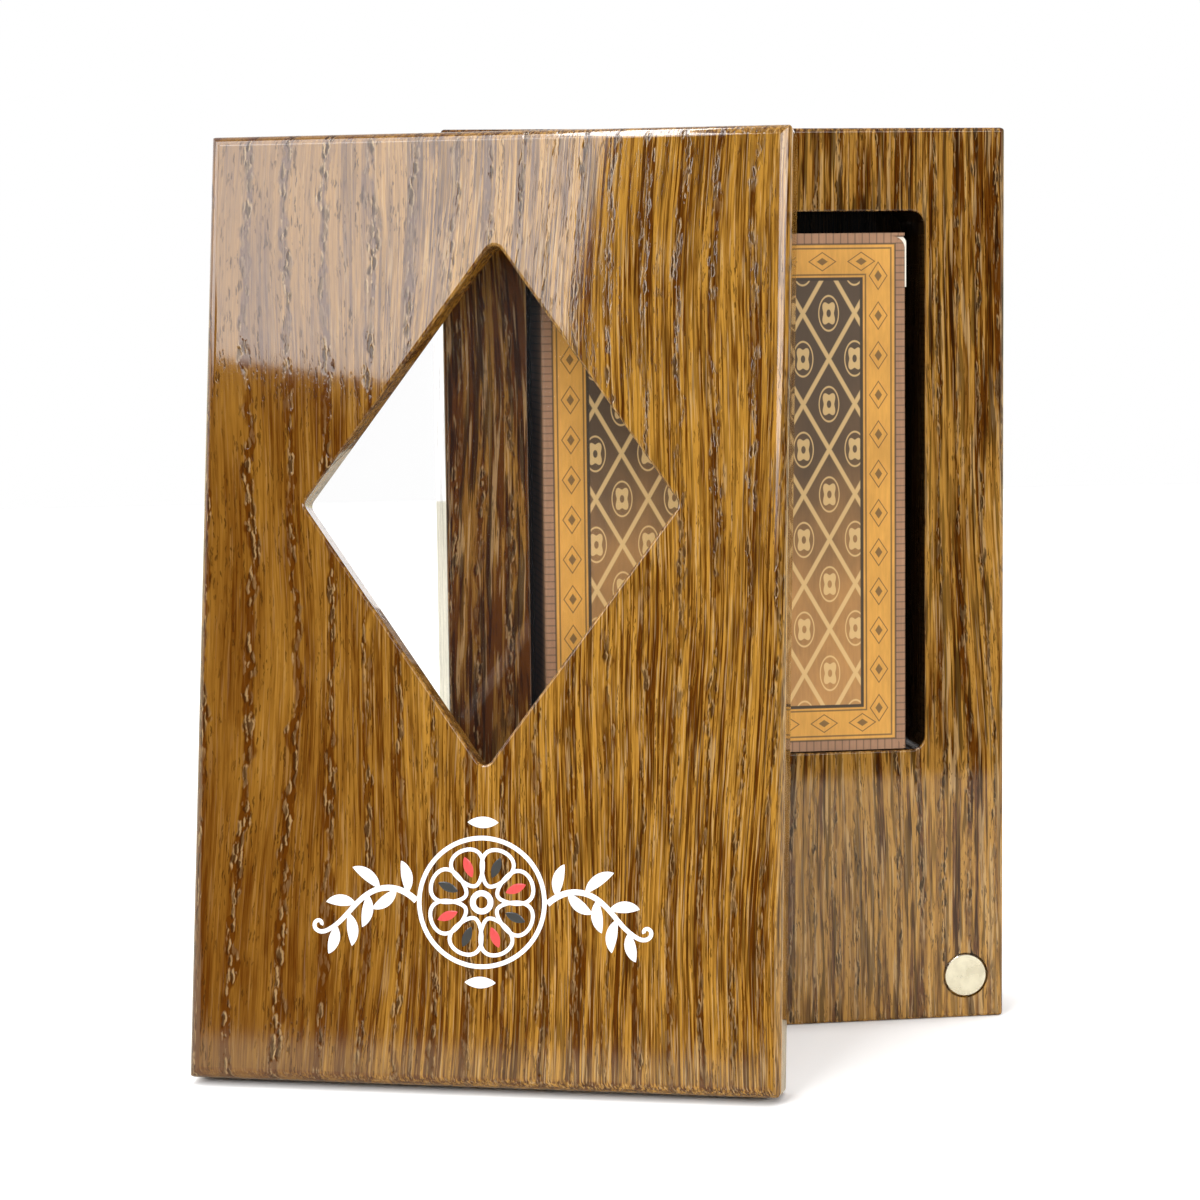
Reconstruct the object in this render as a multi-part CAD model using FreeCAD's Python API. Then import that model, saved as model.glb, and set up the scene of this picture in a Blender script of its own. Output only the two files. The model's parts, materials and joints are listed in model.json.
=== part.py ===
# Wooden box for one boxed deck of playing cards: a base with a routed pocket, a lift-off lid with a
# diamond window and a clear pane, two pairs of magnets, and the boxed deck in the pocket.
#
# Millimetres, +Z up.  The base stands on its lower end with its open face towards -Y.  The origin is the
# centre of that lower end.  The lid is off: it stands in front of the base, turned and leaning back, so
# that the top of its back rests against the base's left front edge.
import FreeCAD
import Part
import math
import os

# ---- cards -------------------------------------------------------------------------------------------
card_count = 54
card_width = 63.4
card_height = 88.9
card_thickness = 0.27
card_gap = 0.01
card_corner_radius = 3.2
card_corner_chords = 3

# ---- paperboard case around the cards ---------------------------------------------------------------
board_thickness = 0.5
fold_radius = 0.6
least_fold_radius = 0.1
card_side_clearance = 0.3
card_head_clearance = 1.6
card_front_clearance = 0.38
tongue_length = 16.0
tongue_corner_radius = 5.0
tongue_clearance = 0.2
shoulder_length = 9.2
shoulder_overhang = 0.25
dust_flap_length = 13.0
front_panel_corner_radius = 2.6

# ---- pocket of the base, around the case ------------------------------------------------------------
case_side_clearance = 3.0
case_head_clearance = 3.8
case_seat_clearance = 0.2
case_recess = 0.8
case_sideways_offset = -0.35
pocket_floor_thickness = 4.0
pocket_corner_radius = 2.5
pocket_rim_radius = 0.4

# ---- base: a rail of one width beside and above the pocket, and a plain foot below it ---------------
rail_width = 14.5
foot_height = 49.5
base_edge_radius = 0.8
base_corner_radius = 1.0

# ---- lid, of the base's outline ---------------------------------------------------------------------
lid_thickness = 9.0
lid_front_radius = 2.0
lid_back_radius = 0.5
lid_corner_radius = 1.2
window_side_cover = 0.3
window_end_cover = 1.5
window_drop = 0.7
window_corner_radius = 1.5
window_rim_radius = 0.45
window_lip_thickness = 5.0
pane_thickness = 3.0
pane_lap = 3.9
pane_corner_radius = 2.5
pane_clearance = 0.25

# ---- how the lid stands in front of the base --------------------------------------------------------
lid_turn = 18.1
lid_lean = 9.2
lid_overhang = 44.3
lean_clearance = 0.3

# ---- magnets, one pair in opposite corners of each board --------------------------------------------
magnet_diameter = 8.0
magnet_thickness = 3.0
magnet_chamfer = 0.3
magnet_clearance = 0.15
magnet_side_inset = 7.0
magnet_end_inset = 7.8

# ---- worked out from the values above ---------------------------------------------------------------
card_pitch = card_thickness + card_gap
stack_depth = card_count * card_pitch
case_width = card_width + 2 * (card_side_clearance + board_thickness)
case_depth = 3 * board_thickness + card_front_clearance + stack_depth
case_height = 3 * board_thickness + card_head_clearance + card_height
pocket_width = case_width + 2 * case_side_clearance
pocket_depth = case_recess + case_depth + case_seat_clearance
pocket_height = case_head_clearance + case_height + case_seat_clearance
pocket_bottom = foot_height
pocket_top = foot_height + pocket_height
box_width = pocket_width + 2 * rail_width
box_height = pocket_top + rail_width
base_thickness = pocket_depth + pocket_floor_thickness
window_width = case_width - 2 * window_side_cover
window_height = case_height - 2 * window_end_cover
window_centre_height = pocket_bottom + pocket_height / 2 - window_drop
pane_width = window_width + 2 * pane_lap
pane_height = window_height + 2 * pane_lap
overshoot = 1.0
flatness = 1e-4

BACK = FreeCAD.Vector(0, 1, 0)
RIGHT = FreeCAD.Vector(1, 0, 0)
UP = FreeCAD.Vector(0, 0, 1)


def rounded_outline(corners, radii):
    """Closed wire through the corners, in order, each one rounded by a tangent arc of its own radius."""
    count = len(corners)
    starts = []
    ends = []
    arcs = []
    for index in range(count):
        here = corners[index]
        before = (corners[index - 1] - here).normalize()
        after = (corners[(index + 1) % count] - here).normalize()
        half_angle = before.getAngle(after) / 2
        radius = radii[index]
        trim = radius / math.tan(half_angle)
        middle = (before + after).normalize() * (radius / math.sin(half_angle) - radius)
        starts.append(here + before * trim)
        ends.append(here + after * trim)
        arcs.append(here + middle)
    edges = []
    for index in range(count):
        if radii[index] > 0:
            edges.append(Part.Arc(starts[index], arcs[index], ends[index]).toShape())
        edges.append(Part.LineSegment(ends[index], starts[(index + 1) % count]).toShape())
    return Part.Wire(edges)


def prism(corners, radii, direction):
    """Solid swept from a rounded outline along one straight direction."""
    return Part.Face(rounded_outline(corners, radii)).extrude(direction)


def upright_plate(width, height, front, thickness, radius, centre_x=0.0, bottom=0.0):
    """Plate facing -Y, with rounded corners in its outline; front is the y of its front face."""
    left = centre_x - width / 2
    right = centre_x + width / 2
    top = bottom + height
    outline = [(left, bottom), (right, bottom), (right, top), (left, top)]
    corners = [FreeCAD.Vector(x, front, z) for x, z in outline]
    return prism(corners, [radius] * 4, BACK * thickness)


def moulded_board(thickness, front_radius, back_radius, corner_radius):
    """Board of the shared outline whose front and back edges are rounded over and meet in mitres.

    It is what three sweeps have in common: the outline swept through the thickness, the cross-section
    swept up the height and the long section swept across the width.
    """
    half = box_width / 2
    radii = [front_radius, front_radius, back_radius, back_radius]
    outline = upright_plate(box_width, box_height, 0.0, thickness, corner_radius)
    across = [(-half, 0.0), (half, 0.0), (half, thickness), (-half, thickness)]
    cross_section = [FreeCAD.Vector(x, y, 0) for x, y in across]
    along = [(0.0, 0.0), (0.0, box_height), (thickness, box_height), (thickness, 0.0)]
    long_section = [FreeCAD.Vector(-half, y, z) for y, z in along]
    upward = prism(cross_section, radii, UP * box_height)
    sideways = prism(long_section, radii, RIGHT * box_width)
    return outline.common(upward).common(sideways)


def rim_edges(shape, plane_y, half_width, low, high):
    """Edges that lie in the plane y = plane_y, inside the given window of x and z."""
    found = []
    for edge in shape.Edges:
        box = edge.BoundBox
        flat = abs(box.YMin - plane_y) < flatness and abs(box.YMax - plane_y) < flatness
        inside = box.XMin > -half_width and box.XMax < half_width and box.ZMin > low and box.ZMax < high
        if flat and inside:
            found.append(edge)
    return found


def magnet_places():
    """Centres of the two magnets on a board's face: (name, x, z)."""
    side = box_width / 2 - magnet_side_inset
    return [("upper", -side, box_height - magnet_end_inset), ("lower", side, magnet_end_inset)]


def magnet_bore(x, z, mouth, inward):
    """Blind hole for a magnet, open at y = mouth; inward is BACK or its opposite."""
    start = FreeCAD.Vector(x, mouth, z) - inward * overshoot
    return Part.makeCylinder(
        magnet_diameter / 2 + magnet_clearance, magnet_thickness + overshoot, start, inward)


def magnet(x, z, mouth, inward):
    """Disc magnet, seated on the floor of its bore and flush with the board's face."""
    disc = Part.makeCylinder(
        magnet_diameter / 2, magnet_thickness, FreeCAD.Vector(x, mouth, z), inward)
    rims = [edge for edge in disc.Edges if edge.Closed]
    return disc.makeChamfer(magnet_chamfer, rims)


def base_block():
    """Base with its pocket, the pocket's eased rim and the magnets' bores."""
    block = moulded_board(base_thickness, base_edge_radius, base_edge_radius, base_corner_radius)
    pocket = upright_plate(
        pocket_width, pocket_height, -overshoot, pocket_depth + overshoot, pocket_corner_radius,
        bottom=pocket_bottom)
    block = block.cut(pocket)
    reach = pocket_width / 2 + overshoot
    rim = rim_edges(block, 0.0, reach, pocket_bottom - overshoot, pocket_top + overshoot)
    block = block.makeFillet(pocket_rim_radius, rim)
    for _, x, z in magnet_places():
        block = block.cut(magnet_bore(x, z, 0.0, BACK))
    return block


def diamond(front, thickness):
    """Diamond-shaped prism of the window."""
    low = window_centre_height - window_height / 2
    high = window_centre_height + window_height / 2
    half = window_width / 2
    outline = [(0.0, low), (half, window_centre_height), (0.0, high), (-half, window_centre_height)]
    corners = [FreeCAD.Vector(x, front, z) for x, z in outline]
    return prism(corners, [window_corner_radius] * 4, BACK * thickness)


def lid_board():
    """Lid with its diamond window, the window's eased rim, the pane's rebate and the magnets' bores."""
    board = moulded_board(lid_thickness, lid_front_radius, lid_back_radius, lid_corner_radius)
    board = board.cut(diamond(-overshoot, lid_thickness + 2 * overshoot))
    low = window_centre_height - window_height / 2 - overshoot
    high = window_centre_height + window_height / 2 + overshoot
    rim = rim_edges(board, 0.0, window_width / 2 + overshoot, low, high)
    board = board.makeFillet(window_rim_radius, rim)
    rebate = upright_plate(
        pane_width + 2 * pane_clearance, pane_height + 2 * pane_clearance, window_lip_thickness,
        lid_thickness, pane_corner_radius + pane_clearance,
        bottom=window_centre_height - pane_height / 2 - pane_clearance)
    board = board.cut(rebate)
    for _, x, z in magnet_places():
        board = board.cut(magnet_bore(x, z, lid_thickness, -BACK))
    return board


def window_pane():
    """Clear pane glued against the lip of the window, in the rebate of the lid's back."""
    return upright_plate(
        pane_width, pane_height, window_lip_thickness, pane_thickness, pane_corner_radius,
        bottom=window_centre_height - pane_height / 2)


def lid_placement():
    """Where the lid stands: turned, leaning back, its lower back edge on the ground.

    In the lid's own frame its front is at y = 0 and its lower end at z = 0.  The rounded lower back
    edge just touches z = 0, and the back clears the base's rounded left front edge by lean_clearance.
    """
    turn = FreeCAD.Rotation(UP, -lid_turn).multiply(FreeCAD.Rotation(RIGHT, -lid_lean))
    outward = turn.multVec(-BACK)
    lean = math.radians(lid_lean)
    height = lid_back_radius * (1 - math.sin(lean) - math.cos(lean))
    corner = turn.multVec(FreeCAD.Vector(-box_width / 2, lid_thickness, 0))
    touch_height = box_height * math.cos(lean)
    touch = FreeCAD.Vector(
        -box_width / 2 + base_edge_radius, -base_thickness / 2 + base_edge_radius, touch_height)
    foot = FreeCAD.Vector(-box_width / 2 - lid_overhang, 0, height)
    wanted = base_edge_radius + lean_clearance
    across = outward.x * (touch.x - foot.x) + outward.z * (touch.z - foot.z)
    foot.y = touch.y + (wanted + across) / outward.y
    return FreeCAD.Placement(foot - corner, turn)


def case_outer(height, inset):
    """Upright prism of the card case's plan, its outside drawn in by inset, with rounded folds."""
    half = case_width / 2 - inset
    plan = [(-half, inset), (half, inset), (half, case_depth - inset), (-half, case_depth - inset)]
    corners = [FreeCAD.Vector(x, y, 0) for x, y in plan]
    radius = max(fold_radius - inset, least_fold_radius)
    return prism(corners, [radius] * 4, UP * height)


def case_sleeve():
    """Folded board sleeve: four walls, a bottom, two dust flaps, and slits for the tongue's shoulders."""
    wall_top = case_height - board_thickness
    sleeve = case_outer(wall_top, 0.0)
    hollow = case_outer(wall_top, board_thickness)
    hollow.translate(UP * board_thickness)
    sleeve = sleeve.cut(hollow)
    flap_depth = case_depth - 3 * board_thickness - 2 * tongue_clearance
    flap_front = 2 * board_thickness + tongue_clearance
    for side in (-1, 1):
        outer_x = side * (case_width / 2 - board_thickness / 2)
        inner_x = side * (case_width / 2 - dust_flap_length)
        flap = Part.makeBox(abs(outer_x - inner_x), flap_depth, board_thickness)
        flap.translate(FreeCAD.Vector(min(outer_x, inner_x), flap_front, wall_top - board_thickness))
        sleeve = sleeve.fuse(flap)
    sleeve = sleeve.removeSplitter()
    half = case_width / 2
    for side in (-1, 1):
        corner = FreeCAD.Vector(side * half, -overshoot, wall_top)
        along = FreeCAD.Vector(-side * front_panel_corner_radius, 0, 0)
        down = -UP * front_panel_corner_radius
        bulge = (along + down) * (1 - math.sqrt(0.5))
        arc = Part.Arc(corner + along, corner + bulge, corner + down).toShape()
        sides = [
            arc,
            Part.LineSegment(corner + down, corner).toShape(),
            Part.LineSegment(corner, corner + along).toShape(),
        ]
        trimming = Part.Face(Part.Wire(sides)).extrude(BACK * (overshoot + board_thickness))
        sleeve = sleeve.cut(trimming)
        slit_width = 2 * (board_thickness + tongue_clearance)
        slit = Part.makeBox(slit_width, board_thickness + tongue_clearance, shoulder_length)
        left = side * half - slit_width / 2
        slit.translate(FreeCAD.Vector(left, board_thickness, wall_top - shoulder_length))
        sleeve = sleeve.cut(slit)
    return sleeve


def case_flap():
    """Closing flap: the top panel and the tongue that is tucked behind the front panel."""
    wall_top = case_height - board_thickness
    panel = case_outer(board_thickness, 0.0)
    panel.translate(UP * wall_top)
    inner_half = case_width / 2 - board_thickness - tongue_clearance
    shoulder_half = case_width / 2 + shoulder_overhang
    step = wall_top - shoulder_length + tongue_clearance
    tip = wall_top - tongue_length
    outline = [
        (-shoulder_half, wall_top), (-shoulder_half, step), (-inner_half, step), (-inner_half, tip),
        (inner_half, tip), (inner_half, step), (shoulder_half, step), (shoulder_half, wall_top)]
    corners = [FreeCAD.Vector(x, board_thickness, z) for x, z in outline]
    radii = [front_panel_corner_radius / 2, 0, 0, tongue_corner_radius]
    tongue = prism(corners, radii + radii[::-1], BACK * board_thickness)
    return panel.fuse(tongue).removeSplitter()


def card_outline(front):
    """Closed wire of one card's outline at y = front; each round corner is a few short chords."""
    half = card_width / 2 - card_corner_radius
    low = card_corner_radius
    high = card_height - card_corner_radius
    middles = [(half, high), (-half, high), (-half, low), (half, low)]
    points = []
    for quarter, (x, z) in enumerate(middles):
        for step in range(card_corner_chords + 1):
            angle = math.pi / 2 * (quarter + step / card_corner_chords)
            across = card_corner_radius * math.cos(angle)
            up = card_corner_radius * math.sin(angle)
            points.append(FreeCAD.Vector(x + across, front, board_thickness + z + up))
    return Part.makePolygon(points + points[:1])


def card_deck():
    """The cards, each one a thin plate with round corners, standing on the case's bottom."""
    stack_front = case_depth - board_thickness - stack_depth
    cards = []
    for index in range(card_count):
        face = Part.Face(card_outline(stack_front + index * card_pitch))
        cards.append(face.extrude(BACK * card_thickness))
    return Part.makeCompound(cards)


def placed(shape, placement):
    """The shape moved to its place, with nothing left in its own placement."""
    moved = shape.copy()
    moved.transformShape(placement.toMatrix(), True)
    return moved


def main():
    os.makedirs("parts", exist_ok=True)
    base_place = FreeCAD.Placement(FreeCAD.Vector(0, -base_thickness / 2, 0), FreeCAD.Rotation())
    lid_place = lid_placement()
    case_front = case_recess - base_thickness / 2
    case_seat = pocket_bottom + case_seat_clearance
    case_corner = FreeCAD.Vector(case_sideways_offset, case_front, case_seat)
    case_place = FreeCAD.Placement(case_corner, FreeCAD.Rotation())
    nodes = {
        "base_block": placed(base_block(), base_place),
        "lid_board": placed(lid_board(), lid_place),
        "lid_window_pane": placed(window_pane(), lid_place),
        "card_case_sleeve": placed(case_sleeve(), case_place),
        "card_case_flap": placed(case_flap(), case_place),
        "card_deck": placed(card_deck(), case_place),
    }
    for name, x, z in magnet_places():
        nodes["base_magnet_" + name] = placed(magnet(x, z, 0.0, BACK), base_place)
        nodes["lid_magnet_" + name] = placed(magnet(x, z, lid_thickness, -BACK), lid_place)
    for name, shape in nodes.items():
        shape.exportStep(os.path.join("parts", name + ".step"))
        box = shape.BoundBox
        low = [round(v, 2) for v in (box.XMin, box.YMin, box.ZMin)]
        high = [round(v, 2) for v in (box.XMax, box.YMax, box.ZMax)]
        print(name, "solids", len(shape.Solids), "valid", shape.isValid(), "low", low, "high", high)


main()
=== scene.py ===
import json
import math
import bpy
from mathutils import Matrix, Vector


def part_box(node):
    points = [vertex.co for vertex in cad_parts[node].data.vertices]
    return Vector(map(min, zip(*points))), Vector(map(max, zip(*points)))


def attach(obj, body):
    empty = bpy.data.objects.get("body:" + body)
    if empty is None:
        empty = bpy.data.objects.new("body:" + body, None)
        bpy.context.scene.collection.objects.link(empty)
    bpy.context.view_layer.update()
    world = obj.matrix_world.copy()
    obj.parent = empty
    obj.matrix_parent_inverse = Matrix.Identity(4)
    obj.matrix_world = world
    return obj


bl_info = {
    "name": "Wooden playing card box",
    "version": (1, 0, 0),
    "blender": (4, 5, 0),
    "location": "View3D > Sidebar > Card Box",
    "description": "Finishes and stage for a wooden card box with a lift-off window lid",
    "category": "Object",
}

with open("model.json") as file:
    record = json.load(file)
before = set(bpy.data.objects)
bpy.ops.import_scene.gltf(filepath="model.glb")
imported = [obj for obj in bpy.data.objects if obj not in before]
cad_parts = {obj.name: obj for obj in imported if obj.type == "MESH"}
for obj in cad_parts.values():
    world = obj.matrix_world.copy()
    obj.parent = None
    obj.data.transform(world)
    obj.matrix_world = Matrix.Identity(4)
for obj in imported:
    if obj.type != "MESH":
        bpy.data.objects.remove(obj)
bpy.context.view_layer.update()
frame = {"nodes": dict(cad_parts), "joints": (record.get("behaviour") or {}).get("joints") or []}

import bpy
import numpy as np
from bpy.props import FloatProperty, FloatVectorProperty, IntProperty, PointerProperty
from mathutils import Matrix, Vector

MM = 0.001


# ---- places --------------------------------------------------------------------------------


def corners_of(name):
    """Vertices of one CAD node as an array, in metres."""
    mesh = frame["nodes"][name].data
    flat = np.empty(3 * len(mesh.vertices), np.float32)
    mesh.vertices.foreach_get("co", flat)
    return flat.reshape(-1, 3).astype(float)


def own_place(name, turn):
    """Rotation and origin of a board's own frame: x across it, y into it from its face, z up it.

    The board's corners are turned back by the rotation.  The origin is the middle of its lower
    front edge, turned forward again.
    """
    back = corners_of(name) @ np.array(turn)
    low = back.min(axis=0)
    high = back.max(axis=0)
    start = Vector(((low[0] + high[0]) / 2, low[1], low[2]))
    return turn, turn @ start


def lid_turn():
    """The lid's rotation, worked out from the outward direction of its lift joint."""
    outward = next(joint["axis"] for joint in frame["joints"] if joint["name"] == "lid_lift")
    turn = math.atan2(-outward[0], -outward[1])
    lean = math.asin(outward[2])
    return Matrix.Rotation(-turn, 3, "Z") @ Matrix.Rotation(-lean, 3, "X")


BASE_PLACE = own_place("base_block", Matrix.Identity(3))
LID_PLACE = own_place("lid_board", lid_turn())


# ---- node helpers --------------------------------------------------------------------------


def linear(colour):
    """A colour of the display as the linear colour that shaders take, with full alpha."""
    parts = (c / 12.92 if c <= 0.04045 else ((c + 0.055) / 1.055) ** 2.4 for c in colour[:3])
    return tuple(parts) + (1.0,)


def put(tree, socket, value):
    """Links a socket's or a field's output to an input, or sets the input's own value."""
    if isinstance(value, Field):
        value = value.socket
    if isinstance(value, bpy.types.NodeSocket):
        tree.links.new(value, socket)
    else:
        socket.default_value = value


def add(tree, kind, inputs=None, **choices):
    """Adds one shader node, with its choices and inputs."""
    new = tree.nodes.new("ShaderNode" + kind)
    for name, value in choices.items():
        setattr(new, name, value)
    for name, value in (inputs or {}).items():
        put(tree, new.inputs[name], value)
    return new


class Field:
    """A number that varies over a surface.  Arithmetic on it adds Math nodes to its material."""

    def __init__(self, tree, socket):
        self.tree = tree
        self.socket = socket

    def apply(self, operation, *others, clamp=False):
        new = add(self.tree, "Math", operation=operation, use_clamp=clamp)
        for place, value in enumerate((self,) + others):
            put(self.tree, new.inputs[place], value)
        return Field(self.tree, new.outputs[0])

    def __add__(self, other):
        return self.apply("ADD", other)

    def __sub__(self, other):
        return self.apply("SUBTRACT", other)

    def __mul__(self, other):
        return self.apply("MULTIPLY", other)

    def __truediv__(self, other):
        return self.apply("DIVIDE", other)

    def size(self):
        return self.apply("ABSOLUTE")

    def wrap(self):
        """Its fractional part."""
        return self.apply("FRACT")

    def most(self, other):
        return self.apply("MAXIMUM", other)

    def least(self, other):
        return self.apply("MINIMUM", other)

    def step(self, low, high, first=0.0, last=1.0):
        """Smooth change from first to last as it goes from low to high."""
        new = add(self.tree, "MapRange", interpolation_type="SMOOTHSTEP")
        for place, value in enumerate((self, low, high, first, last)):
            put(self.tree, new.inputs[place], value)
        return Field(self.tree, new.outputs[0])

    def fall(self, low, high):
        """1 below low, and smoothly down to 0 at high."""
        return self.step(low, high, 1.0, 0.0)

    def between(self, rise, drop):
        """1 between two values, with a smooth rise and drop over the given spans."""
        return self.step(*rise) * self.fall(*drop)

    def line(self, centre, half, soft):
        """1 on a line of the given half width round the centre value, 0 off it."""
        return (self - centre).size().fall(half - soft, half + soft)


def material(name):
    """A new empty node material and its tree."""
    new = bpy.data.materials.new(name)
    new.use_nodes = True
    new.node_tree.nodes.clear()
    return new, new.node_tree


def finish(tree, inputs):
    """The material's surface and its output."""
    surface = add(tree, "BsdfPrincipled", inputs)
    output = add(tree, "OutputMaterial")
    tree.links.new(surface.outputs[0], output.inputs[0])


def own_points(tree, place):
    """Points in a board's own frame, in millimetres: object coordinates that a node turns back."""
    turn, start = place
    coordinates = add(tree, "TexCoord")
    return add(
        tree,
        "Mapping",
        {
            "Vector": coordinates.outputs["Object"],
            "Location": start,
            "Rotation": turn.to_euler("XYZ"),
            "Scale": (MM, MM, MM),
        },
        vector_type="TEXTURE",
    ).outputs[0]


def mapped(tree, points, **inputs):
    """Points that are first scaled and then moved."""
    return add(tree, "Mapping", {"Vector": points, **inputs}, vector_type="POINT").outputs[0]


def scaled(tree, points, size):
    """Points divided by a cell size along each axis."""
    return mapped(tree, points, Scale=tuple(1 / length for length in size))


def axes(tree, points):
    """The points' x, y and z as fields."""
    split = add(tree, "SeparateXYZ", {0: points})
    return [Field(tree, socket) for socket in split.outputs]


def distance(tree, points):
    """The points' distance from the origin."""
    return Field(tree, add(tree, "VectorMath", {0: points}, operation="LENGTH").outputs["Value"])


def noise(tree, points, size, detail=2.0, roughness=0.5):
    """Noise between 0 and 1 whose blobs have the given size along each axis."""
    inputs = {"Vector": scaled(tree, points, size), "Scale": 1.0, "Detail": detail}
    return add(tree, "TexNoise", {**inputs, "Roughness": roughness})


def mottle(tree, points, size, detail=2.0, roughness=0.5):
    """The same noise as a field."""
    return Field(tree, noise(tree, points, size, detail, roughness).outputs["Fac"])


def wandering(tree, points, size, amount):
    """The points moved about by noise, by up to half the amount along each axis."""
    shift = add(tree, "VectorMath", operation="SUBTRACT")
    put(tree, shift.inputs[0], noise(tree, points, size).outputs["Color"])
    put(tree, shift.inputs[1], (0.5, 0.5, 0.5))
    moved = add(tree, "VectorMath", operation="MULTIPLY_ADD")
    put(tree, moved.inputs[0], shift.outputs[0])
    put(tree, moved.inputs[1], amount)
    put(tree, moved.inputs[2], points)
    return moved.outputs[0]


def cells(tree, points, size):
    """Distance to the nearest of many scattered points, in cells of the given size."""
    inputs = {"Vector": scaled(tree, points, size), "Scale": 1.0, "Randomness": 1.0}
    return Field(tree, add(tree, "TexVoronoi", inputs, feature="F1").outputs["Distance"])


def blend(tree, share, first, last):
    """Colour between first and last."""
    new = add(tree, "Mix", data_type="RGBA")
    put(tree, new.inputs[0], share)
    put(tree, new.inputs[6], first)
    put(tree, new.inputs[7], last)
    return new.outputs[2]


def bumped(tree, strength, depth, height):
    """Normal of a surface with a height field laid on it, whose unit is the given depth."""
    inputs = {"Strength": strength, "Distance": depth, "Height": height}
    return add(tree, "Bump", inputs).outputs[0]


def darker(colour, share):
    return tuple(part * share for part in colour)


def give(name, new):
    """The material in every slot of a CAD node."""
    slots = frame["nodes"][name].material_slots
    if not slots:
        raise RuntimeError(f"node {name} has no material slot")
    for slot in slots:
        slot.material = new


# ---- what a user may change ----------------------------------------------------------------


def colour(name, description, default):
    return FloatVectorProperty(
        name=name,
        description=description,
        default=default,
        size=3,
        min=0.0,
        max=1.0,
        subtype="COLOR_GAMMA",
    )


def length(name, description, millimetres):
    return FloatProperty(
        name=name,
        description=description,
        default=millimetres * MM,
        min=0.0,
        unit="LENGTH",
        precision=5,
    )


def brightness(name, description, default):
    return FloatProperty(name=name, description=description, default=default, min=0.0)


class CARDBOX_PG_wood(bpy.types.PropertyGroup):
    light: colour("Ground", "Stained wood between the pores", (0.66, 0.475, 0.18))
    deep: colour("Late wood", "Darker part of a growth ring", (0.32, 0.165, 0.012))
    pore: colour("Pores", "Stain that has settled in the pores", (0.2, 0.1, 0.015))
    # Colour of the painted highlight on one side of each large pore, and of the pale threads of the
    # grain
    pale_grain_and_highlight: colour("Rims", "Worn edge of a pore", (0.73, 0.60, 0.41))
    ring: length("Growth ring", "Distance between growth rings", 5.0)
    pore_width: length("Pore width", "Width of a large pore", 0.44)
    pore_length: length("Pore length", "Length of a large pore", 2.8)
    relief: length("Pore depth", "How deep the lacquered pores are", 0.12)
    gloss: FloatProperty(
        name="Lacquer roughness",
        description="Roughness of the lacquer",
        default=0.035,
        min=0.0,
        max=1.0,
        subtype="FACTOR",
    )


class CARDBOX_PG_print(bpy.types.PropertyGroup):
    border: colour("Border", "Outer border of the printed case", (0.74, 0.56, 0.43))
    frame: colour("Frame", "Broad frame of the printed case", (0.97, 0.71, 0.33))
    field: colour("Field", "Ground of the middle field at its foot", (0.82, 0.60, 0.35))
    shaded: colour("Shaded field", "Ground of the middle field at its top", (0.36, 0.29, 0.225))
    accent: colour("Accent", "Lattice and rosettes", (0.88, 0.74, 0.51))
    board: colour("Board", "Unprinted paperboard", (0.95, 0.93, 0.88))
    border_width: length("Border width", "Width of the outer border", 1.9)
    frame_width: length("Frame width", "Width of the frame inside the border", 6.1)
    lattice: length("Lattice", "Distance between the lattice's crossings", 8.0)


class CARDBOX_PG_ornament(bpy.types.PropertyGroup):
    ink: colour("Ink", "Main colour of the ornament", (0.97, 0.97, 0.97))
    warm: colour("Warm accent", "Every other drop of the rosette", (0.83, 0.22, 0.22))
    dark: colour("Dark accent", "The rosette's other drops", (0.06, 0.05, 0.05))
    centre_height: length("Height", "Height of the ornament's centre above the lid's foot", 30.6)
    half_width: length("Half width", "From the centre to a branch's tip", 28.5)
    ring_radius: length("Ring radius", "Radius of the ring round the rosette", 10.6)
    stroke: length("Stroke", "Width of a drawn line", 0.75)
    proud: length("Proud", "How far the ink stands proud of the wood", 0.05)
    petals: IntProperty(name="Petals", description="Number of petals", default=8, min=3, max=24)


class CARDBOX_PG_stage(bpy.types.PropertyGroup):
    floor: colour("Floor", "Colour of the floor", (0.93, 0.93, 0.93))
    window_light: brightness("Side window", "Brightness of the broad left lamp", 7.0)
    ceiling_light: brightness("Ceiling lamp", "Brightness of the small high lamp", 18.0)
    band: brightness("Light band", "Brightness of the low band in front", 8.0)


class CARDBOX_PG_settings(bpy.types.PropertyGroup):
    wood: PointerProperty(type=CARDBOX_PG_wood)
    printed: PointerProperty(type=CARDBOX_PG_print)
    ornament: PointerProperty(type=CARDBOX_PG_ornament)
    stage: PointerProperty(type=CARDBOX_PG_stage)


def settings():
    return bpy.context.scene.card_box


# ---- wood ----------------------------------------------------------------------------------

# Sizes of the wood's noises across, into and up a board, in millimetres.
SLOW_BENDS = (34.0, 34.0, 110.0)
SMALL_BENDS = (7.0, 7.0, 24.0)
CHAIN_BENDS = (5.0, 5.0, 7.0)
CHAIN_SWELLS = (3.0, 3.0, 8.0)
PORE_BENDS = (0.8, 0.8, 1.6)
PORE_GAPS = (2.5, 2.5, 10.0)
SPECK_CROWDS = (1.6, 1.6, 14.0)
FIBRES = (0.16, 0.16, 7.0)
BANDS = (3.4, 3.4, 42.0)

# How far the bends reach, in millimetres.
SLOW_REACH = 9.0
SMALL_REACH = 0.5
CHAIN_REACH = 3.2
PORE_REACH = (0.55, 0.55, 0.0)

# Lengths of the marks up a board whose width is a share of a thread's, in millimetres.
THREAD_LENGTH = 42.0
STREAK_LENGTH = 16.0
PALE_LENGTH = 12.0
BREAK_LENGTH = 6.0

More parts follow.
